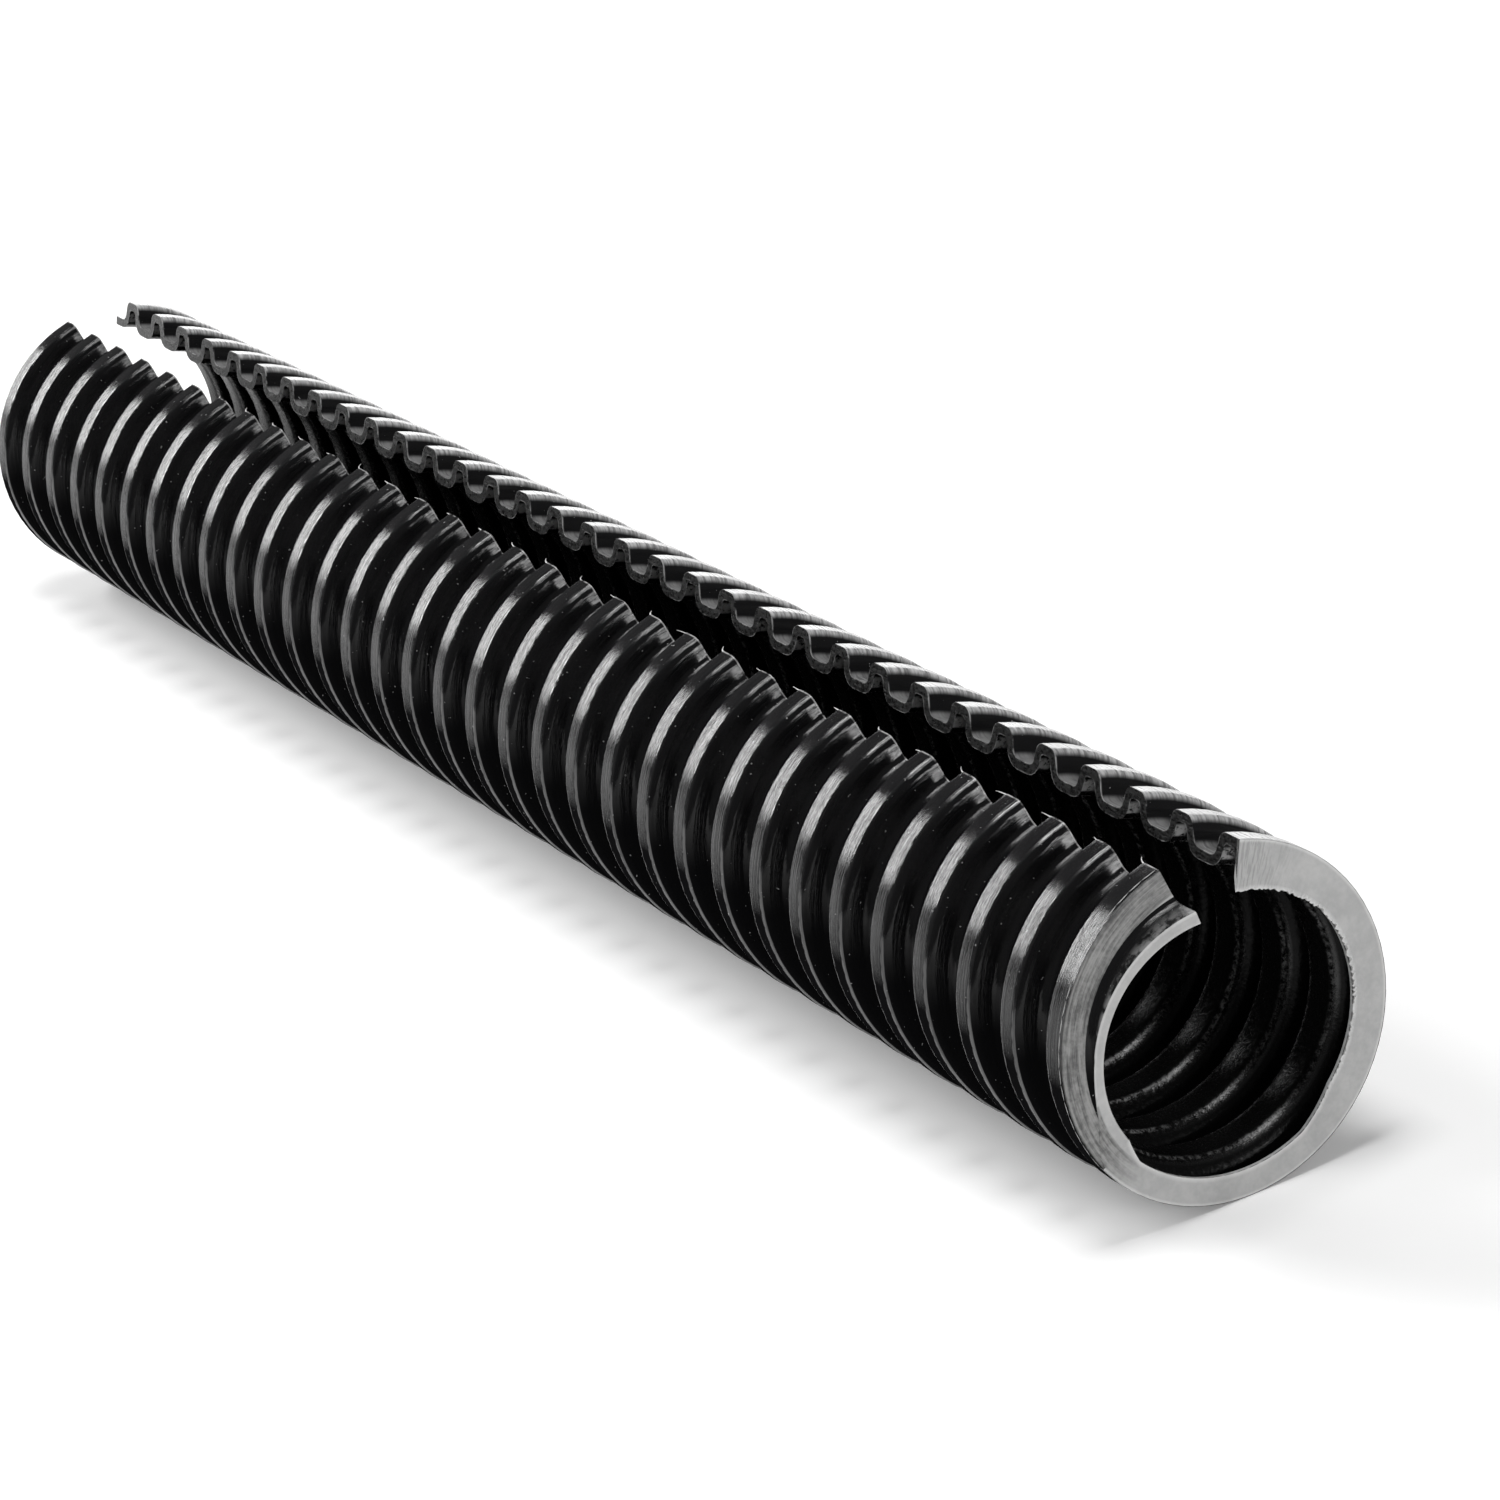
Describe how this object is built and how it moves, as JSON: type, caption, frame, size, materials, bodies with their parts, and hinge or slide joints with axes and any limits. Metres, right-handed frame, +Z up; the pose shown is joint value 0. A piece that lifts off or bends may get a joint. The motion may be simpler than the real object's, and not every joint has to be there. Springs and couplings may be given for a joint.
{
  "type": "slit corrugated conduit",
  "caption": "Straight length of slit corrugated conduit: a thin plastic tube whose wall runs in hollow rings, open along its top so that cables can be laid in.",
  "frame": {"origin": "on the floor, under the middle of the tube's length and width", "axes": "+X along the tube towards the end that the picture shows, +Z up through the slot, +Y across to the right-hand lip as seen from that end"},
  "size_m": [0.5, 0.0644, 0.0635],
  "materials": {
    "conduit_plastic": "gloss"
  },
  "bodies": {
    "root": {"conduit": "conduit_plastic"}
  },
  "joints": []
}
